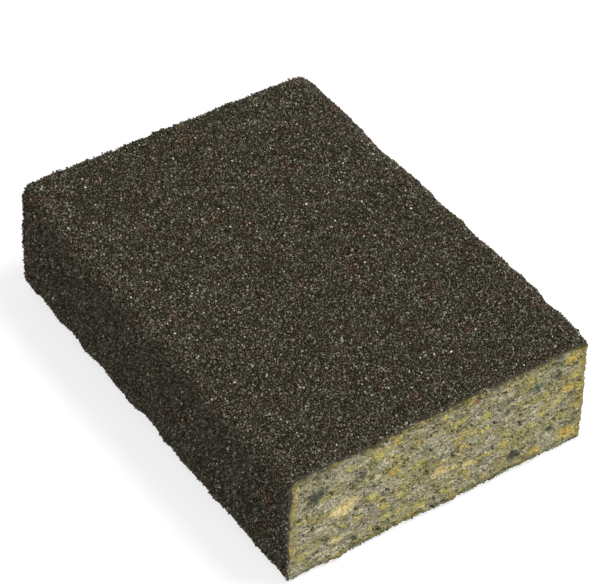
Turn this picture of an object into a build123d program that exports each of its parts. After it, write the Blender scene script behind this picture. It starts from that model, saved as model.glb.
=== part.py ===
from build123d import *
import os
from math import cos, pi, radians, sin

# Abrasive foam block for hand sanding, in millimetres.
# Origin: centre of the bottom working face. +X runs along the length, +Y across the width, +Z up.
# The two large faces and the two long sides carry grit. The two short ends are bare, cut foam.

# ---- driving dimensions ----
core_length = 98.0          # along X, from one bare end to the other
core_width = 69.0           # along Y
core_height = 26.0          # along Z
core_edge_radius = 1.5      # the four long edges of the foam

make_coat_thickness = 0.35  # glue that holds the grit
grit_thickness = 0.50       # one layer of coarse grains

chip_corners = 7            # corners on the outline of a cut foam chip
chip_lobes = 3              # bulges round that outline
chip_raggedness = 0.14      # how far the bulges leave an ellipse, as a share of its radius
chip_depth = 2.4            # how far a chip reaches into the foam from the cut end
chip_taper = 10.0           # degrees by which a chip narrows inwards

# Chips that the cut opens, one row each:
# colour, place across and place up as shares of the half width and half height of the foam,
# then width and height in mm, and the lean of its long axis in degrees.
near_end_chips = [
    ("cream", -0.64, -0.04, 6.2, 2.6, 10),
    ("cream", -0.69, -0.64, 3.4, 1.8, 8),
    ("cream", 0.00, -0.24, 3.0, 2.5, -5),
    ("cream", 0.20, -0.43, 2.1, 1.6, 12),
    ("ochre", -0.32, 0.22, 3.1, 2.0, 15),
    ("ochre", -0.31, 0.86, 2.3, 1.2, 20),
    ("ochre", 0.905, 0.79, 3.8, 2.3, 12),
    ("ochre", 0.90, 0.18, 3.3, 1.6, 15),
    ("ochre", 0.91, -0.79, 3.7, 2.2, 8),
    ("ochre", 0.69, -0.85, 3.0, 1.4, 5),
    ("ochre", 0.46, -0.41, 2.5, 1.8, 10),
    ("yellow", -0.16, 0.11, 4.0, 1.6, 6),
    ("yellow", -0.42, 0.74, 3.1, 2.5, -8),
    ("yellow", -0.47, -0.07, 2.7, 1.4, 8),
    ("yellow", -0.925, -0.67, 2.1, 3.2, 5),
    ("yellow", -0.26, -0.33, 2.6, 1.4, 14),
    ("yellow", -0.35, -0.67, 2.2, 1.4, 18),
    ("yellow", -0.12, -0.79, 3.9, 1.8, 4),
    ("yellow", 0.94, 0.43, 2.0, 2.7, 0),
    ("yellow", 0.82, -0.03, 3.5, 1.6, 14),
    ("yellow", 0.02, 0.85, 2.4, 1.5, 10),
    ("yellow", 0.12, 0.61, 4.0, 1.4, 12),
    ("yellow", 0.31, 0.44, 2.4, 1.4, 8),
    ("yellow", 0.22, 0.26, 2.8, 1.5, 12),
    ("yellow", 0.46, -0.14, 2.6, 1.6, 6),
    ("yellow", 0.715, -0.10, 2.0, 1.4, 4),
    ("dark", -0.84, 0.50, 4.2, 2.0, 12),
    ("dark", -0.57, -0.80, 1.8, 1.2, 10),
    ("dark", -0.54, 0.50, 2.2, 1.2, 14),
    ("dark", 0.54, -0.75, 3.7, 2.1, 18),
    ("dark", 0.79, -0.55, 1.8, 1.7, 0),
    ("dark", 0.81, 0.55, 2.0, 1.2, 24),
    ("dark", 0.46, 0.33, 2.4, 1.0, 12),
    ("green", 0.66, 0.55, 2.9, 1.4, 16),
    ("red", 0.23, 0.86, 1.4, 1.3, 30),
]
far_end_chips = [
    ("cream", 0.52, 0.18, 5.4, 2.4, -8),
    ("cream", -0.33, -0.36, 3.6, 2.0, -12),
    ("cream", -0.71, 0.62, 2.6, 1.7, -6),
    ("ochre", 0.22, -0.62, 3.4, 1.9, -10),
    ("ochre", -0.88, -0.70, 3.6, 2.2, -14),
    ("ochre", 0.83, 0.80, 3.2, 1.5, -5),
    ("ochre", -0.12, 0.58, 2.6, 1.5, -16),
    ("ochre", 0.66, -0.30, 2.3, 1.6, -9),
    ("yellow", 0.90, -0.58, 2.8, 2.6, 0),
    ("yellow", 0.05, 0.12, 4.2, 1.6, -8),
    ("yellow", -0.56, 0.12, 3.2, 1.7, -12),
    ("yellow", -0.91, 0.22, 2.2, 2.4, 4),
    ("yellow", 0.36, 0.78, 3.0, 1.6, -7),
    ("yellow", -0.42, 0.85, 3.3, 1.5, -4),
    ("yellow", 0.44, -0.80, 2.8, 1.4, -12),
    ("yellow", -0.10, -0.82, 3.6, 1.6, -6),
    ("yellow", -0.55, -0.74, 2.6, 1.5, -10),
    ("yellow", 0.28, -0.18, 2.4, 1.3, -15),
    ("dark", 0.74, 0.42, 2.8, 1.4, -18),
    ("dark", -0.30, 0.34, 3.0, 1.5, -12),
    ("dark", -0.72, -0.26, 3.8, 1.9, -9),
    ("dark", 0.05, -0.32, 2.2, 1.2, -14),
    ("dark", 0.66, -0.72, 2.4, 1.5, -8),
    ("green", -0.10, 0.86, 2.6, 1.3, -10),
    ("green", 0.88, 0.05, 2.2, 1.4, -20),
    ("red", 0.16, 0.44, 1.4, 1.1, -25),
]

# ---- sizes that follow ----
coat_thickness = make_coat_thickness + grit_thickness
core_middle = coat_thickness + core_height / 2   # height of the foam's centre line
golden_angle = pi * (3 - 5 ** 0.5)               # turns each chip's outline away from the last one's


def rounded_bar(growth):
    """The block's full-length bar, with its section grown outwards by the given thickness."""
    section = RectangleRounded(
        core_width + 2 * growth,
        core_height + 2 * growth,
        core_edge_radius + growth,
    )
    bar = extrude(Plane.YZ * section, amount=core_length / 2, both=True)
    return Pos(0, 0, core_middle) * bar


def face_wedge(side):
    """The part of space that belongs to one face, mitred through the middle of the long edges."""
    across = core_width / 2 - core_edge_radius
    up = core_height / 2 - core_edge_radius
    reach = core_edge_radius + 2 * coat_thickness
    corners = {
        "top": [(-across, up), (across, up), (across + reach, up + reach), (-across - reach, up + reach)],
        "right": [(across, -up), (across, up), (across + reach, up + reach), (across + reach, -up - reach)],
    }
    corners["bottom"] = [(-y, -z) for y, z in corners["top"]]
    corners["left"] = [(-y, -z) for y, z in corners["right"]]
    outline = make_face(Plane.YZ * Polyline(*corners[side], close=True))
    return Pos(0, 0, core_middle) * extrude(outline, amount=core_length, both=True)


def coat(side, inner, outer):
    """One face's share of a layer that lies between two distances from the foam."""
    return (rounded_bar(outer) - rounded_bar(inner)) & face_wedge(side)


def chip(end, number, across, up, width, height, lean):
    """A foam chip cut flush with one bare end: an uneven polygon that narrows into the foam."""
    middle_y = across * core_width / 2
    middle_z = core_middle + up * core_height / 2
    turn = radians(lean)
    points = []
    for corner in range(chip_corners):
        angle = 2 * pi * corner / chip_corners + number * golden_angle
        reach = 1 + chip_raggedness * sin(chip_lobes * angle + number)
        along = reach * cos(angle) * width / 2
        over = reach * sin(angle) * height / 2
        points.append((
            end * core_length / 2,
            middle_y + along * cos(turn) - over * sin(turn),
            middle_z + along * sin(turn) + over * cos(turn),
        ))
    outline = make_face(Polyline(*points, close=True))
    depth = min(chip_depth, height)
    return extrude(outline, amount=depth, dir=(-end, 0, 0), taper=chip_taper)


def all_chips():
    """Every opened chip, gathered by colour."""
    groups = {}
    for end, rows in ((1, near_end_chips), (-1, far_end_chips)):
        for number, (colour, *shape) in enumerate(rows):
            groups.setdefault(colour, []).append(chip(end, number, *shape))
    return groups


def foam_core(groups):
    """The foam slab, with a pocket for each chip."""
    slab = rounded_bar(0)
    for chips in groups.values():
        slab -= chips
    return slab


chips_by_colour = all_chips()
nodes = {"foam_core": foam_core(chips_by_colour)}
for colour, chips in chips_by_colour.items():
    nodes[f"{colour}_foam_chips"] = Compound(children=chips)
for side in ("top", "bottom", "left", "right"):
    nodes[f"{side}_make_coat"] = coat(side, 0, make_coat_thickness)
    nodes[f"{side}_grit_layer"] = coat(side, make_coat_thickness, coat_thickness)

os.makedirs("parts", exist_ok=True)
for name, shape in nodes.items():
    export_step(shape, f"parts/{name}.step")
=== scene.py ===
"""The looks of an abrasive foam block: grit crystals on resin, round a core of rebonded foam.

Shapes are worked out in millimetres with numpy, then written to meshes in metres.
"""

import math

import bmesh
import bpy
import numpy as np
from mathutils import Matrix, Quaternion, Vector


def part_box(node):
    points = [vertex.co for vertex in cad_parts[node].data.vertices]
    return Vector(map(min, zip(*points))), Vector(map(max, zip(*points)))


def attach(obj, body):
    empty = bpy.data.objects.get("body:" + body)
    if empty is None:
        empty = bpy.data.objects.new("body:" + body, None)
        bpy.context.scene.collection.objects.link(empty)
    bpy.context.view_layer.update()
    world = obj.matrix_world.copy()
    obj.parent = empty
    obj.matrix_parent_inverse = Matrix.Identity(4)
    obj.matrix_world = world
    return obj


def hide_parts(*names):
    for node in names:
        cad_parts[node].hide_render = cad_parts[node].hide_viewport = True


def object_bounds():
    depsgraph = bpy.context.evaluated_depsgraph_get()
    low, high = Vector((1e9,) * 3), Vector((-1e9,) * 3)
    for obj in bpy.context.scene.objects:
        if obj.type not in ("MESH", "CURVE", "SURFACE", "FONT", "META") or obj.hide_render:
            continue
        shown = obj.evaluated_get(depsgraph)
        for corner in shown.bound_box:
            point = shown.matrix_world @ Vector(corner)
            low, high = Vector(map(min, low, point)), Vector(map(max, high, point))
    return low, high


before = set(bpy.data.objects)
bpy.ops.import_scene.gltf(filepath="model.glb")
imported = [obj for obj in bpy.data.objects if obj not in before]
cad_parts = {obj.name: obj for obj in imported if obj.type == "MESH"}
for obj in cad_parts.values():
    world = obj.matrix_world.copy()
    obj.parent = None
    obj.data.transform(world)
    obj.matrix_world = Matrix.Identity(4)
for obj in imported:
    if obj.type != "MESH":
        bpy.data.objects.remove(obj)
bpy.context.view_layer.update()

MM = 0.001


# ---------------------------------------------------------------- sizes, from the frame

def node_box(name):
    low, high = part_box(name)
    return np.array(low) / MM, np.array(high) / MM


core_low, core_high = node_box("foam_core")
HALF_LENGTH = core_high[0]
HALF_WIDTH = core_high[1]
HALF_HEIGHT = (core_high[2] - core_low[2]) / 2
MID_HEIGHT = (core_high[2] + core_low[2]) / 2
MAKE_COAT = node_box("top_make_coat")[1][2] - core_high[2]
FULL_COAT = node_box("top_grit_layer")[1][2] - core_high[2]
CORE_RADIUS = 1.5           # the foam's long edges, as part.py has them

SIDES = {                   # name: direction across the face, direction out of it
    "top": ((0, 1, 0), (0, 0, 1)),
    "bottom": ((0, -1, 0), (0, 0, -1)),
    "left": ((0, 0, 1), (0, -1, 0)),
    "right": ((0, 0, -1), (0, 1, 0)),
}


# ---------------------------------------------------------------- noise

def lattice(cells, seed):
    """A repeatable number from 0 to 1 for each row of whole-number cell places."""
    value = np.full(len(cells), seed * 374761393 + 668265263, np.uint64)
    for axis, prime in enumerate((2654435761, 2246822519, 3266489917)[: cells.shape[1]]):
        value ^= (cells[:, axis].astype(np.int64).astype(np.uint64) + np.uint64(axis + 1)) * np.uint64(prime)
        value ^= value >> np.uint64(29)
        value *= np.uint64(0xBF58476D1CE4E5B9)
        value ^= value >> np.uint64(32)
    return (value & np.uint64(0xFFFFFF)).astype(float) / 0xFFFFFF


def smooth_noise(places, size, seed):
    """Smooth noise from -1 to 1 with bumps about as wide as size, which may differ by axis."""
    at = places / np.asarray(size, float)
    base = np.floor(at)
    share = at - base
    share = share * share * (3 - 2 * share)
    total = np.zeros(len(at))
    for corner in np.ndindex(*(2,) * at.shape[1]):
        step = np.array(corner)
        weight = np.prod(np.where(step, share, 1 - share), axis=1)
        total += weight * lattice(base + step, seed)
    return 2 * total - 1


def rough_noise(places, size, seed, octaves=3):
    """Several layers of smooth noise, each half as wide and half as strong as the last."""
    total, weight = np.zeros(len(places)), 0
    for octave in range(octaves):
        share = 0.5 ** octave
        total += share * smooth_noise(places, np.asarray(size, float) * share, seed + octave)
        weight += share
    return total / weight


def flakes(places, size, seed):
    """The flake that each place lies in, as a number from 0 to 1, and how near its rim is: 0 on it."""
    at = places / np.asarray(size, float)
    base = np.floor(at)
    nearest = np.full(len(at), 9.0)
    second = np.full(len(at), 9.0)
    owner = np.zeros(len(at))
    for step in np.ndindex(*(3,) * at.shape[1]):
        cell = base + np.array(step) - 1
        centre = cell + np.stack([lattice(cell, seed + axis) for axis in range(at.shape[1])], 1)
        apart = np.linalg.norm(at - centre, axis=1)
        closer = apart < nearest
        second = np.where(closer, nearest, np.minimum(second, apart))
        owner = np.where(closer, lattice(cell, seed + 7), owner)
        nearest = np.where(closer, apart, nearest)
    return owner, second - nearest


# ---------------------------------------------------------------- the block's form

SOFT_WAVE = 0.32            # how far the soft block wanders from true
SOFT_WAVE_SIZE = 11.0
EDGE_WAVES = (0.78, 1.15)   # how far the left and right sides wave in and out, mostly from end to end
EDGE_WAVE_SIZE = (6.0, 50.0, 36.0)
SIDE_BULGE = 0.32           # how far the long sides bow out at mid length
CUT_WAVE = 0.42             # how far the sawn ends wander
CUT_WAVE_SIZE = 2.6
CORNER_REACH = 4.5          # how far a worn corner spreads
CORNER_DRAW = {             # what share of its rounding a corner has lost, squeezed sharp against the coats
    (1, 1, -1): 0.8,
    (1, -1, -1): 0.45,
}
CORNER_WEAR = {             # how far each of the others is worn in, as (x, y, z) ends
    (1, -1, 1): 1.5,
    (1, 1, 1): 0.35,
    (-1, 1, 1): 1.1,
    (-1, -1, 1): 0.5,
    (-1, -1, -1): 0.6,
    (-1, 1, -1): 0.4,
}


def soften(places):
    """Places on the true block, moved to where the soft, slightly uneven and worn one has them."""
    moved = places.copy()
    for axis in range(3):
        moved[:, axis] += SOFT_WAVE * rough_noise(places, SOFT_WAVE_SIZE, 11 + 3 * axis)
    aside = places[:, 1] / HALF_WIDTH
    along = 1 - (places[:, 0] / HALF_LENGTH) ** 2
    moved[:, 1] += SIDE_BULGE * along * aside
    wave = np.where(aside < 0, *EDGE_WAVES) * np.abs(aside) ** 5
    moved[:, 1] += wave * rough_noise(places, EDGE_WAVE_SIZE, 21)
    end = np.clip(1 - (HALF_LENGTH - np.abs(places[:, 0])) / 2.5, 0, 1)
    section = np.stack([places[:, 1], places[:, 2] + 100 * np.sign(places[:, 0])], 1)
    moved[:, 0] += CUT_WAVE * end * np.sign(places[:, 0]) * rough_noise(section, CUT_WAVE_SIZE, 17, octaves=2)
    half = np.array([HALF_LENGTH, HALF_WIDTH + FULL_COAT, HALF_HEIGHT + FULL_COAT])
    for ends in (*CORNER_WEAR, *CORNER_DRAW):
        corner = half * ends + (0, 0, MID_HEIGHT)
        near = np.clip(1 - np.linalg.norm(places - corner, axis=1) / CORNER_REACH, 0, 1)
        moved -= (CORNER_WEAR.get(ends, 0.0) * near ** 2)[:, None] * np.array(ends) / math.sqrt(3)
        moved[:, 1:] += (CORNER_DRAW.get(ends, 0.0) * near)[:, None] * (corner - places)[:, 1:]
    return moved


def reach_across(side):
    """Half the flat of a face, and half its whole developed width to the mitre at the long edges."""
    flat = (HALF_WIDTH if side in ("top", "bottom") else HALF_HEIGHT) - CORE_RADIUS
    return flat, flat + (CORE_RADIUS + FULL_COAT) * math.pi / 4


def on_side(side, along, across, lift):
    """Places at a height above the foam, and the ways across and out there, for a face's own places."""
    over, out = (np.array(v, float) for v in SIDES[side])
    flat, _ = reach_across(side)
    deep = (HALF_HEIGHT if side in ("top", "bottom") else HALF_WIDTH) - CORE_RADIUS
    turn = np.clip(np.abs(across) - flat, 0, None) / (CORE_RADIUS + FULL_COAT) * np.sign(across)
    spread = np.clip(across, -flat, flat) + (CORE_RADIUS + lift) * np.sin(turn)
    rise = deep + (CORE_RADIUS + lift) * np.cos(turn)
    places = np.outer(spread, over) + np.outer(rise, out)
    places[:, 0] += along
    places[:, 2] += MID_HEIGHT
    way_out = np.outer(np.sin(turn), over) + np.outer(np.cos(turn), out)
    way_over = np.outer(np.cos(turn), over) - np.outer(np.sin(turn), out)
    return places, way_over, way_out


# ---------------------------------------------------------------- meshes

def make_piece(name, places, groups):
    """A mesh piece from places in mm and groups of faces. Each group is an array of faces with as many
    corners each, their places on the map, and whether they are smooth, as one flag or one for each."""
    sizes = np.concatenate([np.full(len(faces), faces.shape[1]) for faces, _, _ in groups])
    smooth = np.concatenate([np.broadcast_to(flag, len(faces)) for faces, _, flag in groups])
    used, corners = np.unique(np.concatenate([faces.ravel() for faces, _, _ in groups]), return_inverse=True)
    mesh = bpy.data.meshes.new(name)
    mesh.vertices.add(len(used))
    mesh.vertices.foreach_set("co", (places[used] * MM).astype(np.float32).ravel())
    mesh.loops.add(len(corners))
    mesh.loops.foreach_set("vertex_index", corners.astype(np.int32).ravel())
    mesh.polygons.add(len(sizes))
    mesh.polygons.foreach_set("loop_start", (np.cumsum(sizes) - sizes).astype(np.int32))
    mesh.polygons.foreach_set("use_smooth", np.ascontiguousarray(smooth))
    mesh.update(calc_edges=True)
    layer = mesh.uv_layers.new(name="OFBake")
    layer.uv.foreach_set("vector", np.concatenate([uv.ravel() for _, uv, _ in groups]).astype(np.float32))
    if smooth.any():
        edges = np.empty(len(corners), np.int32)
        mesh.loops.foreach_get("edge_index", edges)
        sharp = np.zeros(len(mesh.edges), bool)
        sharp[edges[np.repeat(~smooth, sizes)]] = True
        mesh.attributes.new("sharp_edge", "BOOLEAN", "EDGE").data.foreach_set("value", sharp)
    mesh.validate()
    piece = bpy.data.objects.new(name, mesh)
    bpy.context.scene.collection.objects.link(piece)
    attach(piece, "root")
    return piece, used


def give_numbers(piece, name, values):
    """A number for each vertex, for the piece's material to read."""
    layer = piece.data.attributes.new(name, "FLOAT", "POINT")
    layer.data.foreach_set("value", values.astype(np.float32))


def give_colours(piece, name, values):
    """A colour for each vertex, for the piece's material to read."""
    layer = piece.data.attributes.new(name, "FLOAT_COLOR", "POINT")
    full = np.ones((len(values), 4), np.float32)
    full[:, :3] = values
    layer.data.foreach_set("color", full.ravel())


# ---------------------------------------------------------------- materials

def linear(red, green, blue):
    """A colour as it shows on screen, 0 to 255, as the linear numbers that shaders take."""
    parts = np.array([red, green, blue]) / 255
    return tuple(np.where(parts <= 0.04045, parts / 12.92, ((parts + 0.055) / 1.055) ** 2.4))


class Nodes:
    """A material and short calls to add nodes to it."""

    def __init__(self, name):
        self.material = bpy.data.materials.new(name)
        self.material.use_nodes = True
        self.tree = self.material.node_tree
        self.shader = self.tree.nodes["Principled BSDF"]
        self.place = self.add("ShaderNodeTexCoord").outputs["Object"]

    def add(self, kind, **settings):
        node = self.tree.nodes.new(kind)
        for name, value in settings.items():
            setattr(node, name, value)
        return node

    def link(self, source, target):
        self.tree.links.new(source, target)

    def number(self, name):
        return self.add("ShaderNodeAttribute", attribute_name=name).outputs["Fac"]

    def colour(self, name):
        return self.add("ShaderNodeAttribute", attribute_name=name).outputs["Color"]

    def noise(self, size, detail=2.0, roughness=0.5, stretch=(1, 1, 1)):
        """Noise with bumps about as wide as size in mm, longer along an axis by its stretch."""
        scaled = self.add("ShaderNodeVectorMath", operation="DIVIDE")
        self.link(self.place, scaled.inputs[0])
        scaled.inputs[1].default_value = [part * size * MM for part in stretch]
        texture = self.add("ShaderNodeTexNoise")
        texture.inputs["Scale"].default_value = 1.0
        texture.inputs["Detail"].default_value = detail
        texture.inputs["Roughness"].default_value = roughness
        self.link(scaled.outputs[0], texture.inputs["Vector"])
        return texture.outputs["Fac"]

    def spread(self, source, low, high, to_low, to_high):
        """A number moved from one range to another, held inside it."""
        node = self.add("ShaderNodeMapRange")
        self.link(source, node.inputs["Value"])
        for name, value in zip(("From Min", "From Max", "To Min", "To Max"), (low, high, to_low, to_high)):
            node.inputs[name].default_value = value
        return node.outputs["Result"]

    def ramp(self, source, *stops, steps=False):
        """A colour ramp with (place, colour) stops."""
        node = self.add("ShaderNodeValToRGB")
        band = node.color_ramp
        band.interpolation = "CONSTANT" if steps else "LINEAR"
        while len(band.elements) < len(stops):
            band.elements.new(1.0)
        for element, (place, colour) in zip(band.elements, stops):
            element.position = place
            element.color = (*colour, 1.0)
        self.link(source, node.inputs["Fac"])
        return node.outputs["Color"]

    def mix(self, share, first, second, blend="MIX"):
        """Two colours blended. Each may be an output or a plain colour, and share an output or a number."""
        node = self.add("ShaderNodeMix", data_type="RGBA", blend_type=blend)
        for socket, value in zip((node.inputs[0], node.inputs[6], node.inputs[7]), (share, first, second)):
            if isinstance(value, bpy.types.NodeSocket):
                self.link(value, socket)
            else:
                socket.default_value = (*value, 1.0) if isinstance(value, tuple) else value
        return node.outputs[2]

    def bump(self, height, depth, strength=1.0):
        """Relief of that depth in mm."""
        node = self.add("ShaderNodeBump")
        node.inputs["Strength"].default_value = strength
        node.inputs["Distance"].default_value = depth * MM
        self.link(height, node.inputs["Height"])
        self.link(node.outputs["Normal"], self.shader.inputs["Normal"])


GRAIN_STOPS = {
    "dark": (
        (0.00, linear(29, 25, 14)), (0.35, linear(55, 51, 38)), (0.65, linear(74, 70, 58)),
        (0.90, linear(92, 88, 78)), (1.00, linear(108, 105, 97)),
    ),
    "brown": (
        (0.00, linear(55, 50, 37)), (0.35, linear(83, 78, 66)), (0.65, linear(104, 100, 91)),
        (0.88, linear(119, 115, 108)), (1.00, linear(131, 126, 120)),
    ),
    # painted glints: the top stops make a few grains near white, standing in for glints, besides the real light grey
    # grains
    "pale_and_glint": (
        (0.00, linear(95, 94, 89)), (0.45, linear(119, 119, 116)), (0.80, linear(144, 144, 143)),
        (0.95, linear(178, 180, 180)), (1.00, linear(229, 232, 234)),
    ),
}
GRAIN_GLOSS = {"dark": 0.12, "brown": 0.16, "pale_and_glint": 0.45}


def grain_material(kind):
    """Crystals of one kind: each has its own tone, stained in soft patches and dulled by dust."""
    n = Nodes(f"grain_{kind}")
    tone = n.ramp(n.number("tone"), *GRAIN_STOPS[kind])
    for size, strength in ((4.5, 0.9), (1.3, 1.0)):
        stain = n.ramp(
            n.noise(size, detail=1.0),
            (0.28, linear(222, 230, 216)), (0.50, linear(246, 245, 236)),
            (0.62, linear(250, 239, 227)), (0.72, linear(255, 221, 200)),
        )
        tone = n.mix(strength, tone, stain, "MULTIPLY")
    dust = n.spread(n.noise(3.4, detail=3.0), 0.42, 0.68, 0.0, 0.26)
    n.link(n.mix(dust, tone, linear(92, 87, 76)), n.shader.inputs["Base Color"])
    n.link(n.spread(n.number("polish"), 0.0, 1.0, 0.85, 0.22), n.shader.inputs["Roughness"])
    n.shader.inputs["Specular IOR Level"].default_value = GRAIN_GLOSS[kind]
    return n.material


def resin_material():
    """The dark, brownish glue that the grains sit in."""
    n = Nodes("cured_resin")
    colour = n.ramp(
        n.noise(1.3, detail=4.0),
        (0.30, linear(15, 12, 8)), (0.55, linear(28, 24, 15)), (0.75, linear(47, 39, 25)),
    )
    sawn = n.ramp(n.noise(0.5, detail=3.0), (0.35, linear(44, 40, 32)), (0.65, linear(88, 82, 68)))
    n.link(n.mix(n.number("cut"), colour, sawn), n.shader.inputs["Base Color"])
    n.link(n.spread(n.noise(0.7), 0.3, 0.7, 0.50, 0.80), n.shader.inputs["Roughness"])
    n.shader.inputs["Specular IOR Level"].default_value = 0.12
    n.bump(n.noise(0.35, detail=3.0), 0.05)
    return n.material


def foam_material(name, fuzz):
    """Open-cell foam over the flakes' own colours: short fibres, with painted shade in its fine cells, its holes and
    crevices, and along the coats.
    """
    n = Nodes(name)
    colour = n.colour("flake")
    fibres = n.noise(0.27, detail=3.0, roughness=0.7, stretch=(1.0, 1.25, 1.0))
    lit = n.ramp(fibres, (0.35, linear(108, 108, 92)), (0.50, linear(228, 228, 222)), (0.63, linear(255, 255, 255)))
    colour = n.mix(fuzz, colour, lit, "MULTIPLY")
    # painted shade: the fine cells, then the holes, crevices and borders under the coats, are darkened in colour
    pore_shade = n.spread(n.noise(0.30, detail=1.0), 0.60, 0.70, 0.0, 0.8)
    colour = n.mix(pore_shade, colour, linear(62, 62, 42))
    colour = n.mix(n.number("pit"), colour, linear(40, 42, 30))
    n.link(colour, n.shader.inputs["Base Color"])
    n.link(n.spread(fibres, 0.3, 0.7, 0.98, 0.86), n.shader.inputs["Roughness"])
    n.shader.inputs["Specular IOR Level"].default_value = 0.2
    n.bump(fibres, 0.08)
    return n.material


# ---------------------------------------------------------------- the resin sheets

RESIN_PITCH = 0.5
RESIN_SWELL = 0.09          # how far the resin's skin rises and falls
RESIN_FILL = 0.12           # how far it rises above its own coat between the grains
RESIN_FRAY = 0.16           # how far its cut ends stop short of the foam's, here and there
COAT_SHORT = {"top": 0.0, "left": 0.0, "right": 0.55, "bottom": 0.28}   # and how far each one does all along


def grid_faces(rows, columns):
    """Quads of a grid of places numbered row by row, as columns run across and rows up."""
    start = np.arange(rows - 1)[:, None] * columns + np.arange(columns - 1)
    return np.stack([start, start + 1, start + columns + 1, start + columns], -1).reshape(-1, 4)


def rim_of(rows, columns):
    """The border of such a grid, going round it anticlockwise."""
    index = np.arange(rows * columns).reshape(rows, columns)
    return np.concatenate([index[0, :-1], index[:-1, -1], index[-1, :0:-1], index[:0:-1, 0]])


def resin_sheet(side, material):
    """A face's closed sheet of resin, with an uneven outer skin and ragged cut ends."""
    _, reach = reach_across(side)
    rows = round(2 * reach / RESIN_PITCH) + 1
    columns = round(2 * HALF_LENGTH / RESIN_PITCH) + 1
    across, along = np.meshgrid(
        np.linspace(-reach, reach, rows), np.linspace(-HALF_LENGTH, HALF_LENGTH, columns), indexing="ij"
    )
    across, along = across.ravel(), along.ravel()
    flat, _, _ = on_side(side, along, across, 0.0)
    cut = np.abs(along) > HALF_LENGTH - 1e-6
    short = COAT_SHORT[side] + RESIN_FRAY * (0.5 + 0.5 * rough_noise(flat, 0.8, 35))
    along = along - np.sign(along) * cut * short
    inner, _, _ = on_side(side, along, across, 0.0)
    outer, _, out = on_side(side, along, across, MAKE_COAT + RESIN_FILL)
    outer += out * (RESIN_SWELL * rough_noise(outer, 1.6, 31))[:, None]
    count = len(outer)
    skin = grid_faces(rows, columns)
    rim = rim_of(rows, columns)
    following = np.roll(rim, -1)
    edge = np.stack([rim + count, following + count, following, rim], 1)
    uv = np.stack([along / HALF_LENGTH, across / reach], 1) * 0.495 + 0.5
    uv = np.concatenate([uv, uv])
    groups = [(faces, uv[faces], smooth) for faces, smooth in
              ((skin, True), (skin[:, ::-1] + count, True), (edge, False))]
    piece, used = make_piece(f"{side}_resin", soften(np.concatenate([outer, inner])), groups)
    give_numbers(piece, "cut", np.tile(cut, 2)[used])
    piece.data.materials.append(material)
    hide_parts(f"{side}_make_coat")


# ---------------------------------------------------------------- the grit

GRAIN_PITCH = 0.385         # from one grain to the next
GRAIN_SIZE = 0.465          # a usual grain across
GRAIN_PERCH = 0.20          # how high its middle lies above the resin, as a share of its size
GRAIN_SHARES = {"dark": 0.48, "brown": 0.39, "pale_and_glint": 0.13}
GRAIN_OVERHANG = 0.06       # how far the last grains may lie past the cut ends
PALE_EDGE_REACH = 1.3          # how far from where the long edges begin their grains are made lighter: partly wear, partly a painted highlight along the rounded edges
CRYSTAL_SHAPES = 32


def closed_hull(points):
    """The corners and outward triangles of the hull round some points."""
    hull = bmesh.new()
    for point in points:
        hull.verts.new(point)
    bmesh.ops.convex_hull(hull, input=hull.verts)
    loose = [vertex for vertex in hull.verts if not vertex.link_faces]
    bmesh.ops.delete(hull, geom=loose, context="VERTS")
    hull.verts.index_update()
    places = np.array([vertex.co for vertex in hull.verts])
    faces = np.array([[vertex.index for vertex in face.verts] for face in hull.faces])
    hull.free()
    a, b, c = (places[faces[:, corner]] for corner in range(3))
    inward = np.einsum("ij,ij->i", np.cross(b - a, c - a), (a + b + c) / 3 - places.mean(0)) < 0
    faces[inward] = faces[inward][:, ::-1]
    return places, faces


def crystal_shapes(random):
    """Sharp, blocky crystals of about unit diameter."""
    shapes = []
    for number in range(CRYSTAL_SHAPES):
        points = random.normal(size=(7 if number % 4 == 0 else 6, 3))
        for _ in range(12):     # the corners push each other apart, so that no crystal is a sliver
            apart = points[:, None] - points[None]
            push = apart / (np.linalg.norm(apart, axis=2, keepdims=True) ** 3 + 1e-6)
            points += 0.05 * push.sum(1)
            points /= np.linalg.norm(points, axis=1, keepdims=True)
        points *= random.uniform(0.85, 1.15, (len(points), 1)) * random.uniform((1.0, 0.8, 0.7), (1.2, 1.0, 0.9))
        shapes.append(closed_hull(points / 2))
    return shapes


def random_turns(random, count):
    """Rotation matrices spread evenly over all directions."""
    w, x, y, z = random.normal(size=(4, count))
    length = np.sqrt(w * w + x * x + y * y + z * z)
    w, x, y, z = w / length, x / length, y / length, z / length
    return np.stack([
        np.stack([1 - 2 * (y * y + z * z), 2 * (x * y - z * w), 2 * (x * z + y * w)], -1),
        np.stack([2 * (x * y + z * w), 1 - 2 * (x * x + z * z), 2 * (y * z - x * w)], -1),
        np.stack([2 * (x * z - y * w), 2 * (y * z + x * w), 1 - 2 * (x * x + y * y)], -1),
    ], -2)


def scatter(shapes, shape, turns, middles, chosen):
    """Copies of the shapes at the chosen places: corners, triangles, and the place that owns each."""
    places, faces, owners, holders, start = [], [], [], [], 0
    for number, (corners, triangles) in enumerate(shapes):
        mine = np.flatnonzero(chosen & (shape == number))
        turned = np.einsum("nij,kj->nki", turns[mine], corners)
        places.append((turned + middles[mine, None]).reshape(-1, 3))
        first = start + np.arange(len(mine)) * len(corners)
        faces.append((triangles[None] + first[:, None, None]).reshape(-1, 3))
        owners.append(np.repeat(mine, len(corners)))
        holders.append(np.repeat(mine, len(triangles)))
        start += len(mine) * len(corners)
    return tuple(np.concatenate(part) for part in (places, faces, owners, holders))


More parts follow.
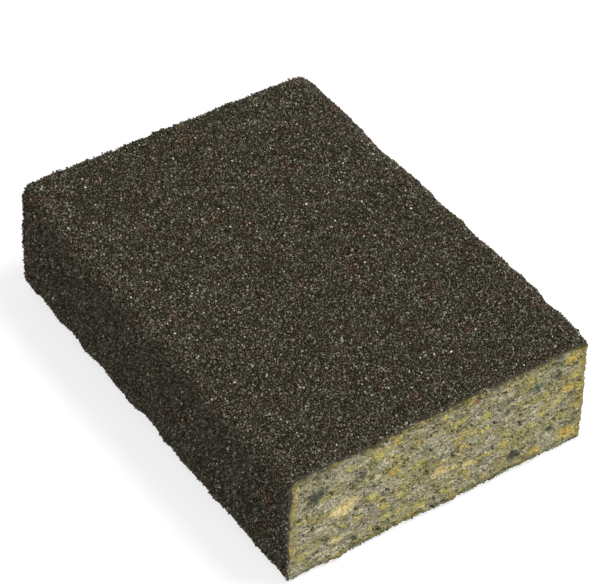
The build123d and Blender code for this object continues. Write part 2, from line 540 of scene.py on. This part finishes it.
def lay_grit(side, shapes, materials, random):
    """Scatters a face's crystals, one near each point of a fine grid, as one piece for each kind."""
    flat, reach = reach_across(side)
    columns = round(2 * HALF_LENGTH / GRAIN_PITCH)
    rows = round(2 * reach / GRAIN_PITCH)
    row, column = (part.ravel() for part in np.indices((rows, columns)))
    count = len(row)
    end = HALF_LENGTH + GRAIN_OVERHANG - COAT_SHORT[side]
    along = ((column + random.uniform(0.0, 1.0, count)) / columns * 2 - 1) * end
    across = ((row + random.uniform(0.0, 1.0, count)) / rows * 2 - 1) * reach
    size = GRAIN_SIZE * np.exp(0.22 * random.normal(size=count)).clip(0.60, 1.65)
    lift = MAKE_COAT + RESIN_FILL + size * (GRAIN_PERCH + 0.10 * random.normal(size=count).clip(-2.0, 1.6))
    middle, _, _ = on_side(side, along, across, lift)
    middle = soften(middle)
    turns = random_turns(random, count) * size[:, None, None]
    draw, tone, polish = random.uniform(size=(3, count))
    # painted highlight and wear: grains near the long edges get a lighter tone
    pale_edge = np.clip(1 - np.abs(np.abs(across) - flat) / PALE_EDGE_REACH, 0, 1)
    tone = 1 - (1 - tone) * (1 - 0.35 * pale_edge)
    shape = random.integers(0, len(shapes), count)
    limits = np.cumsum([0, *GRAIN_SHARES.values()])
    for kind, low, high in zip(GRAIN_SHARES, limits, limits[1:]):
        places, faces, owners, holders = scatter(shapes, shape, turns, middle, (draw >= low) & (draw < high))
        # A crystal's faces all share one small triangle of the map, in the crystal's own cell.
        patch = np.array([(0.18, 0.2), (0.82, 0.2), (0.5, 0.85)])
        uv = (np.stack([column[holders], row[holders]], 1)[:, None] + patch) / (columns, rows)
        piece, used = make_piece(f"{side}_{kind}_grains", places, [(faces, uv, False)])
        give_numbers(piece, "tone", tone[owners][used])
        give_numbers(piece, "polish", polish[owners][used] ** 7)
        piece.data.materials.append(materials[kind])
        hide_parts(f"{side}_grit_layer")


# ---------------------------------------------------------------- the foam

FOAM_PITCH = 0.14
CHIP_DEPTH = 1.6            # how deep the visible chips go
CORE_RINGS = 57             # sections along the core's hidden sides
CORE_SHOULDER = 0.35        # how far behind each cut the first of them lies
CUT_FLARE = {"top": 0.0, "left": 0.10, "right": 0.42, "bottom": 0.28}   # how far the cut stands out over the coats
CUT_FRAY = {"top": 0.75, "left": 0.60, "right": 0.18, "bottom": 0.18}   # and how far that goes up and down
CUT_SHADE = {                # how far in from each coat the painted shade under its edge reaches, and how dark it is
    "top": (1.7, 0.66),
    "left": (0.45, 0.45),
    "right": (0.9, 0.30),
    "bottom": (1.2, 0.55),
}
SHRED_PITCH = 0.46          # from one torn shred of foam to the next
FRAY_PITCH = 0.24           # the same along the cut's border, where more of them stand up

FLAKE_COLOURS = [           # share of the foam, colour
    (0.30, (194, 185, 161)),
    (0.21, (180, 173, 147)),
    (0.13, (204, 195, 172)),
    (0.12, (168, 163, 122)),
    (0.08, (188, 177, 114)),
    (0.07, (146, 149, 120)),
    (0.05, (206, 189, 106)),
    (0.04, (110, 115, 94)),
]
CHIP_LOOKS = {              # colours of heart and outside, how fibrous it is, and how far its stain spreads
    "cream": ((232, 206, 138), (228, 214, 162), 0.40, 1.50),
    "ochre": ((214, 178, 90), (204, 190, 112), 0.45, 1.40),
    "yellow": ((214, 200, 110), (196, 187, 130), 0.55, 1.40),
    "dark": ((56, 64, 56), (100, 106, 92), 0.80, 1.25),
    "green": ((104, 138, 122), (152, 160, 138), 0.70, 1.30),
    "red": ((172, 84, 48), (178, 142, 94), 0.70, 1.25),
}
YELLOW_RIM = (196, 176, 88)


def chip_outlines(colour, end):
    """The corners of each of the frame's chips of that colour on one end, in order round the chip."""
    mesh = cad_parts[f"{colour}_foam_chips"].data
    key = [tuple(np.round(np.array(vertex.co) / MM, 3)) for vertex in mesh.vertices]
    chips = []
    for polygon in mesh.polygons:
        corners = {key[vertex] for vertex in polygon.vertices}
        if any(abs(corner[0] - end * HALF_LENGTH) > 0.01 for corner in corners):
            continue
        touching = [chip for chip in chips if chip & corners]
        chips = [chip for chip in chips if not chip & corners]
        chips.append(corners.union(*touching))
    outlines = []
    for chip in sorted(sorted(chip) for chip in chips):
        corners = np.array(chip)[:, 1:] - (0, MID_HEIGHT)
        offset = corners - corners.mean(0)
        outlines.append(corners[np.argsort(np.arctan2(offset[:, 1], offset[:, 0]))])
    return outlines


def inside_chip(places, outline, seed):
    """Under 1 inside a chip, with a ragged border, and more the further out."""
    middle = outline.mean(0)
    offset = places - middle
    corners = outline - middle
    angles = np.arctan2(corners[:, 1], corners[:, 0])
    reach = np.linalg.norm(corners, axis=1)
    turned = np.arctan2(offset[:, 1], offset[:, 0])
    rim = np.interp(turned, np.concatenate([angles - 2 * np.pi, angles, angles + 2 * np.pi]), np.tile(reach, 3))
    ragged = 0.34 * rough_noise(places, (1.1, 0.7), seed) + 0.30 * smooth_noise(places, (0.34, 0.26), seed + 5)
    return np.linalg.norm(offset, axis=1) / rim + ragged


def blend(first, second, share):
    """Colours moved towards others by a share for each place."""
    return first + (second - first) * np.asarray(share)[..., None]


def foam_matrix(flat, seed):
    """The pressed foam crumb of a cut end: its colour, where its holes and crevices lie from 0 to 1, which sink the
    relief and get painted shade, and its relief in mm.
    """
    sway = np.stack([rough_noise(flat, 2.8, seed + 1), rough_noise(flat, 2.8, seed + 2)], 1) * (0.9, 0.6)
    frayed = np.stack([rough_noise(flat, 0.5, seed + 3), rough_noise(flat, 0.5, seed + 4)], 1) * (0.50, 0.36)
    bent = flat + sway + frayed
    flake, rim = flakes(bent, (2.2, 1.25), seed + 10)
    small, small_rim = flakes(bent, (0.95, 0.62), seed + 20)
    limits = np.cumsum([amount for amount, _ in FLAKE_COLOURS])
    shades = np.array([linear(*colour) for _, colour in FLAKE_COLOURS])

    def shade(draw):
        return shades[np.searchsorted(limits, draw * limits[-1] * 0.9999)]

    colour = blend(shade(flake), shade(small), 0.36)
    tilt = 0.9 * (flake - 0.5)
    grain = np.stack([
        flat[:, 0] * np.cos(tilt) + flat[:, 1] * np.sin(tilt),
        flat[:, 1] * np.cos(tilt) - flat[:, 0] * np.sin(tilt),
    ], 1) + 40 * flake[:, None]
    fibre = rough_noise(grain, (0.50, 0.36), seed + 30, octaves=2)
    speck = smooth_noise(flat, 0.27, seed + 31)
    olive = np.clip(1.4 * rough_noise(bent, (4.0, 2.0), seed + 32), 0, 0.45)
    colour = blend(colour, np.array(linear(178, 168, 102)), olive)
    colour = colour * (1.06 + 0.38 * fibre + 0.15 * speck)[:, None]
    # holes and the crevices round the flakes: they sink the relief, and the foam material paints shade into them
    crowd = np.clip(0.5 + 1.5 * rough_noise(bent, (3.2, 1.1), seed + 40), 0, 1)
    hollow = rough_noise(bent, (0.52, 0.36), seed + 41, octaves=2)
    pit = np.clip((hollow - 0.60 + 0.42 * crowd) / 0.14, 0, 1)
    crevice = np.clip(1.15 - rim / 0.11, 0, 1) * np.clip(3 * smooth_noise(flat, (1.2, 0.6), seed + 42), 0, 1)
    pit = np.maximum(pit, 0.8 * crevice)
    height = 0.22 * (flake - 0.5) + 0.14 * (small - 0.5) + 0.16 * fibre + 0.07 * speck
    height += 0.20 * smooth_noise(flat, 6.0, seed + 43)
    height -= 0.10 * np.clip(1 - small_rim / 0.12, 0, 1) + 0.44 * pit
    return colour, pit, height


def cut_face(end):
    """One bare end: its places, colours, holes and painted shade, and which chip colour each quad belongs to."""
    rows = round(2 * HALF_HEIGHT / FOAM_PITCH) + 1
    columns = round(2 * HALF_WIDTH / FOAM_PITCH) + 1
    up, share = np.meshgrid(np.linspace(-HALF_HEIGHT, HALF_HEIGHT, rows), np.linspace(-1, 1, columns), indexing="ij")
    up, share = up.ravel(), share.ravel()
    over = np.clip(np.abs(up) - (HALF_HEIGHT - CORE_RADIUS), 0, CORE_RADIUS)
    across = share * (HALF_WIDTH - CORE_RADIUS + np.sqrt(CORE_RADIUS ** 2 - over ** 2))
    flat = np.stack([across, up], 1)
    seed = 100 if end > 0 else 300
    colour, pit, height = foam_matrix(flat, seed)
    inset = np.minimum(HALF_WIDTH - np.abs(across), HALF_HEIGHT - np.abs(up))
    beside = HALF_WIDTH - np.abs(across) < 2.2
    reach = np.where(beside, 2.0, 1.3)
    rim = np.clip(1.0 - inset / reach + 0.8 * rough_noise(flat, (1.2, 0.8), seed + 45), 0, 1) * (inset < 2.2)
    rim *= np.clip(0.2 + 2.0 * smooth_noise(flat, 6.0, seed + 46) + beside, 0.1, 1)
    colour = blend(colour, np.array(linear(*YELLOW_RIM)), 0.75 * rim)
    quads = grid_faces(rows, columns)
    centre = flat[quads].mean(1)
    kind = np.zeros(len(quads), int)
    for number, name in enumerate(CHIP_LOOKS, 1):
        for order, outline in enumerate(chip_outlines(name, end)):
            chip_seed = seed + 50 + 9 * order
            reach = np.ptp(outline, axis=0)
            near = (np.abs(centre - outline.mean(0)) < reach).all(1)
            near[near] = inside_chip(centre[near], outline, chip_seed) < 1
            kind[near] = number
            around = (np.abs(flat - outline.mean(0)) < 1.6 * reach).all(1)
            depth = inside_chip(flat[around], outline, chip_seed)
            stain = np.clip((CHIP_LOOKS[name][3] - depth) / 0.50, 0, 1)
            mottle = rough_noise(flat[around], (0.9, 0.45), seed + 60 + number)
            fleck = smooth_noise(flat[around], (0.42, 0.30), seed + 70 + number)
            tint, other = (np.array(linear(*part)) for part in CHIP_LOOKS[name][:2])
            fade = np.clip(1.1 * depth - 0.2 + 1.0 * mottle, 0, 1)
            tint = blend(tint, other, fade) * (1 + 0.28 * fleck)[:, None]
            colour[around] = blend(colour[around], tint, stain * (0.88 + 0.12 * mottle))
            pit[around] *= 1 - 0.6 * stain
            height[around] += stain * (0.05 - 0.35 * height[around])
    border = np.zeros((rows - 1, columns - 1), bool)
    border[:2], border[-2:], border[:, :2], border[:, -2:] = True, True, True, True
    kind[border.ravel()] = 0
    flared, border_shade = flat.copy(), np.zeros(len(flat))
    ragged = rough_noise(flat, 1.1, seed + 47) + 0.5 * smooth_noise(flat, 0.45, seed + 49)
    shade_wobble = 0.8 * rough_noise(flat, (1.0, 0.7), seed + 48)
    for side, (_, out) in SIDES.items():
        way = np.array(out[1:], float)
        inward = (HALF_WIDTH if way[0] else HALF_HEIGHT) - flat @ way
        edge = np.clip(1 - inward / 0.9, 0, 1)
        flared += (edge * (CUT_FLARE[side] + CUT_FRAY[side] * ragged))[:, None] * way
        # painted shade: the foam darkens towards each coat, as under the coat's overhang, and goes in with the
        # holes' painted shade
        reach, strength = CUT_SHADE[side]
        border_shade = np.maximum(border_shade, strength * np.clip(1 - inward / reach + shade_wobble * (inward < 1.3 * reach), 0, 1))
    pit = np.maximum(pit, border_shade)
    places = np.stack([end * (HALF_LENGTH + height), flared[:, 0], flared[:, 1] + MID_HEIGHT], 1)
    deep = places.copy()
    deep[:, 0] = end * (HALF_LENGTH - CHIP_DEPTH)
    return {
        "end": end, "rows": rows, "columns": columns, "quads": quads, "kind": kind, "flat": flat, "places": places,
        "soft": soften(places), "soft_deep": soften(deep), "colour": colour, "pit": pit,
    }


def walls(face, inside):
    """Quads that close the step between the quads inside a region and those outside it.
    Places at the front keep their numbers, and those behind come after them."""
    rows, columns = face["rows"], face["columns"]
    index = np.arange(rows * columns).reshape(rows, columns)
    held = np.zeros((rows + 1, columns + 1), bool)
    held[1:-1, 1:-1] = inside.reshape(rows - 1, columns - 1)
    count = rows * columns
    made = []
    for lower, upper, first, second in (
        (held[1:-1, :-1], held[1:-1, 1:], index[:-1], index[1:]),       # steps across
        (held[:-1, 1:-1], held[1:, 1:-1], index[:, 1:], index[:, :-1]),  # steps up
    ):
        for mine, other, a, b in ((lower, upper, first, second), (upper, lower, second, first)):
            step = mine & ~other
            made.append(np.stack([a[step] + count, b[step] + count, b[step], a[step]], 1))
    return np.concatenate(made)


def end_map(end, places):
    """Where places on a cut end lie on a piece's map: one end in its lower part, the other above."""
    low = 0.02 if end > 0 else 0.50
    return np.stack([
        0.02 + 0.96 * (places[..., 1] / HALF_WIDTH + 1) / 2,
        low + 0.42 * ((places[..., 2] - MID_HEIGHT) / HALF_HEIGHT + 1) / 2,
    ], -1)


def strip_map(count):
    """A narrow strip of the map for the faces that nobody sees."""
    return np.tile([(0.02, 0.96), (0.98, 0.96), (0.98, 0.99), (0.02, 0.99)], (count, 1, 1))


def shred_places(face, random):
    """Where torn shreds of foam stand on a cut end: all over it, and closer together round its border."""
    half = np.array([HALF_WIDTH, HALF_HEIGHT])
    counts = np.round(2 * half / SHRED_PITCH).astype(int)
    cells = np.stack(np.meshgrid(*map(np.arange, counts), indexing="ij"), -1).reshape(-1, 2)
    spread = ((cells + random.uniform(0, 1, cells.shape)) / counts * 2 - 1) * (half - 0.2)
    frays = []
    for side in SIDES:
        _, reach = reach_across(side)
        across = np.arange(-reach, reach, FRAY_PITCH)
        across += random.uniform(-0.5, 0.5, len(across)) * FRAY_PITCH
        highest = CUT_FLARE[side] + (0.10 if COAT_SHORT[side] else 0.42)
        lift = random.uniform(-0.30, highest, len(across))
        places, _, _ = on_side(side, np.zeros(len(across)), across.clip(-reach, reach), lift)
        frays.append(places[:, 1:] - (0, MID_HEIGHT))
    return np.concatenate([spread, *frays])


def foam_shreds(face, shapes, random):
    """Torn shreds that stand up from a cut end, with the quad that each one belongs to."""
    flat = shred_places(face, random)
    count = len(flat)
    rows, columns = face["rows"], face["columns"]
    up = ((flat[:, 1] / HALF_HEIGHT + 1) / 2 * (rows - 1)).round().astype(int).clip(1, rows - 2)
    over = np.clip(np.abs(flat[:, 1]) - (HALF_HEIGHT - CORE_RADIUS), 0, CORE_RADIUS)
    half = HALF_WIDTH - CORE_RADIUS + np.sqrt(CORE_RADIUS ** 2 - over ** 2)
    right = ((flat[:, 0] / half + 1) / 2 * (columns - 1)).round().astype(int).clip(1, columns - 2)
    vertex = up * columns + right
    size = random.uniform(0.24, 0.48, count)
    slim = np.stack([0.45 * size, 1.00 * size, 0.60 * size], 1)
    turns = random_turns(random, count)
    lean = np.eye(3) + 0.45 * (turns - np.eye(3))       # most lie along the width, leaning a little
    turns = lean * slim[:, None, :]
    middle = np.stack([face["places"][vertex, 0], flat[:, 0], flat[:, 1] + MID_HEIGHT], 1)
    middle[:, 0] += face["end"] * random.uniform(-0.04, 0.08, count)
    shape = random.integers(0, len(shapes), count)
    return {
        "vertex": vertex, "kind": face["kind"][up.clip(0, rows - 2) * (columns - 1) + right.clip(0, columns - 2)],
        "turns": turns, "middle": middle, "shape": shape, "lit": 1.06 + 0.14 * random.normal(size=count).clip(-2, 2),
    }


class FoamMesh:
    """Gathers the vertices and faces of one foam piece."""

    def __init__(self):
        self.places, self.colours, self.pits, self.groups, self.count = [], [], [], [], 0

    def add_places(self, places, colours, pits):
        """Adds vertices and returns the number of the first."""
        self.places.append(places)
        self.colours.append(np.broadcast_to(colours, (len(places), 3)))
        self.pits.append(np.broadcast_to(pits, len(places)))
        self.count += len(places)
        return self.count - len(places)

    def add_faces(self, faces, uv, smooth):
        self.groups.append((faces, uv, smooth))

    def add_face(self, face):
        """The vertices of a cut end, and of its copy at the depth of the chips."""
        start = self.add_places(face["soft"], face["colour"], face["pit"])
        self.add_places(face["soft_deep"], face["colour"], face["pit"])
        return start

    def add_shreds(self, face, shreds, number, shapes):
        chosen = (shreds["kind"] == number) & (face["pit"][shreds["vertex"]] < 0.3)
        places, faces, owners, _ = scatter(shapes, shreds["shape"], shreds["turns"], shreds["middle"], chosen)
        colours = face["colour"][shreds["vertex"][owners]] * shreds["lit"][owners, None]
        start = self.add_places(soften(places), colours, 0.0)
        self.add_faces(faces + start, end_map(face["end"], places)[faces], False)

    def make(self, name, node, material):
        piece, used = make_piece(name, np.concatenate(self.places), self.groups)
        give_colours(piece, "flake", np.concatenate(self.colours)[used])
        give_numbers(piece, "pit", np.concatenate(self.pits)[used])
        piece.data.materials.append(material)
        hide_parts(node)


def outward(end, faces):
    """Faces made for the near end, turned over on the far one."""
    return faces if end > 0 else faces[:, ::-1]


def foam_chips(number, name, faces, shreds, shapes):
    """Every chip of one colour on both ends, each a closed solid."""
    mesh = FoamMesh()
    for face, torn in zip(faces, shreds):
        end, count = face["end"], len(face["places"])
        mine = face["kind"] == number
        if not mine.any():
            continue
        start = mesh.add_face(face)
        front = outward(end, face["quads"][mine])
        back = outward(end, face["quads"][mine][:, ::-1] + count)
        sides = outward(end, walls(face, mine))
        mesh.add_faces(front + start, end_map(end, face["places"])[front], True)
        mesh.add_faces(back + start, strip_map(len(back)), False)
        mesh.add_faces(sides + start, strip_map(len(sides)), False)
        mesh.add_shreds(face, torn, number, shapes)
    mesh.make(f"{name}_chips", f"{name}_foam_chips", foam_material(f"foam_{name}", CHIP_LOOKS[name][2]))


def foam_core(faces, shreds, shapes):
    """The foam slab: two cut ends with a pocket for each chip, joined by its long hidden sides."""
    mesh = FoamMesh()
    bands = []
    for face, torn in zip(faces, shreds):
        end, count = face["end"], len(face["places"])
        rim = rim_of(face["rows"], face["columns"])
        start = mesh.add_face(face)
        matrix = face["kind"] == 0
        cut = outward(end, face["quads"][matrix])
        floor = outward(end, face["quads"][~matrix]) + count
        sides = walls(face, matrix)
        sides = outward(end, sides[~np.isin(sides[:, 2:], rim).all(1)])
        mesh.add_faces(cut + start, end_map(end, face["places"])[cut], True)
        mesh.add_faces(floor + start, strip_map(len(floor)), False)
        mesh.add_faces(sides + start, strip_map(len(sides)), False)
        mesh.add_shreds(face, torn, 0, shapes)
        bands.append(rim + start)
    near = faces[0]
    section = near["flat"][rim_of(near["rows"], near["columns"])]
    shoulder = HALF_LENGTH - CORE_SHOULDER
    for along in np.linspace(shoulder, -shoulder, CORE_RINGS):
        ring = np.stack([np.full(len(section), along), section[:, 0], section[:, 1] + MID_HEIGHT], 1)
        start = mesh.add_places(soften(ring), linear(*FLAKE_COLOURS[0][1]), 0.0)
        bands.insert(-1, start + np.arange(len(ring)))
    for first, second in zip(bands, bands[1:]):
        band = np.stack([first, second, np.roll(second, -1), np.roll(first, -1)], 1)
        mesh.add_faces(band, strip_map(len(band)), False)
    mesh.make("foam_core_cut", "foam_core", foam_material("foam_matrix", 0.85))


# ---------------------------------------------------------------- the stage

CAMERA_PLACE = Vector((0.3121, -0.2226, 0.3761))
CAMERA_AIM = Vector((-0.00165, 0.0021, 0.0166))
CAMERA_ROLL = 2.03          # degrees that the camera leans to its left
CAMERA_LENS = 156.4


def white_for_camera(tree):
    """1 where the camera, a mirror or glass sees a surface, and 0 for all other rays."""
    path = tree.nodes.new("ShaderNodeLightPath")
    total = None
    for name in ("Is Camera Ray", "Is Glossy Ray", "Is Transmission Ray"):
        if total is None:
            total = path.outputs[name]
            continue
        more = tree.nodes.new("ShaderNodeMath")
        more.operation = "MAXIMUM"
        tree.links.new(total, more.inputs[0])
        tree.links.new(path.outputs[name], more.inputs[1])
        total = more.outputs[0]
    return total


def build_stage(floor_height):
    """A pale floor that keeps the shadow, a white background, soft lamps and the camera."""
    scene = bpy.context.scene
    world = bpy.data.worlds.new("studio")
    world.use_nodes = True
    scene.world = world
    tree = world.node_tree
    room = tree.nodes["Background"]
    room.inputs["Color"].default_value = (1.0, 1.0, 1.0, 1.0)
    room.inputs["Strength"].default_value = 0.40
    shown = tree.nodes.new("ShaderNodeBackground")
    shown.inputs["Color"].default_value = (1.0, 1.0, 1.0, 1.0)
    shown.inputs["Strength"].default_value = 1.0
    mix = tree.nodes.new("ShaderNodeMixShader")
    tree.links.new(white_for_camera(tree), mix.inputs[0])
    tree.links.new(room.outputs[0], mix.inputs[1])
    tree.links.new(shown.outputs[0], mix.inputs[2])
    tree.links.new(mix.outputs[0], tree.nodes["World Output"].inputs["Surface"])

    bpy.ops.mesh.primitive_plane_add(size=4.0, location=(0, 0, floor_height))
    floor = bpy.context.object
    floor.name = "floor"
    paint = bpy.data.materials.new("floor_paint")
    paint.use_nodes = True
    tree = paint.node_tree
    tree.nodes.remove(tree.nodes["Principled BSDF"])
    matt = tree.nodes.new("ShaderNodeBsdfDiffuse")
    matt.inputs["Color"].default_value = (0.32, 0.32, 0.32, 1.0)
    glow = tree.nodes.new("ShaderNodeEmission")
    tree.links.new(white_for_camera(tree), glow.inputs["Strength"])
    glow.inputs["Color"].default_value = (0.72, 0.72, 0.72, 1.0)
    both = tree.nodes.new("ShaderNodeAddShader")
    tree.links.new(matt.outputs[0], both.inputs[0])
    tree.links.new(glow.outputs[0], both.inputs[1])
    tree.links.new(both.outputs[0], tree.nodes["Material Output"].inputs["Surface"])
    floor.data.materials.append(paint)

    add_lamp("key", (0.20, 0.30, 0.85), 0.26, 6.6)
    add_lamp("front", (0.75, -0.10, 0.35), 0.40, 2.6)
    add_lamp("left", (-0.30, -0.80, 0.35), 0.40, 1.6)

    camera = bpy.data.objects.new("camera", bpy.data.cameras.new("camera"))
    scene.collection.objects.link(camera)
    camera.location = CAMERA_PLACE
    aim = (CAMERA_AIM - CAMERA_PLACE).to_track_quat("-Z", "Y")
    lean = Quaternion((0, 0, 1), math.radians(CAMERA_ROLL))
    camera.rotation_mode = "QUATERNION"
    camera.rotation_quaternion = aim @ lean
    camera.data.lens = CAMERA_LENS
    camera.data.sensor_width = 36.0
    camera.data.clip_start = 0.01
    scene.camera = camera
    scene.view_settings.view_transform = "Standard"


def add_lamp(name, place, size, power):
    """A square soft lamp that faces the block."""
    lamp = bpy.data.objects.new(name, bpy.data.lights.new(name, "AREA"))
    bpy.context.scene.collection.objects.link(lamp)
    lamp.data.size = size
    lamp.data.energy = power
    lamp.location = place
    lamp.rotation_euler = (Vector((0, 0, MID_HEIGHT * MM)) - lamp.location).to_track_quat("-Z", "Y").to_euler()


# ---------------------------------------------------------------- all of it

random = np.random.default_rng(60)
crystals = crystal_shapes(random)
grain_materials = {kind: grain_material(kind) for kind in GRAIN_SHARES}
resin = resin_material()
for side in SIDES:
    resin_sheet(side, resin)
    lay_grit(side, crystals, grain_materials, random)

cut_faces = [cut_face(1), cut_face(-1)]
torn = [foam_shreds(face, crystals, random) for face in cut_faces]
foam_core(cut_faces, torn, crystals)
for number, name in enumerate(CHIP_LOOKS, 1):
    foam_chips(number, name, cut_faces, torn, crystals)

visual_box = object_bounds()
build_stage(visual_box[0].z)
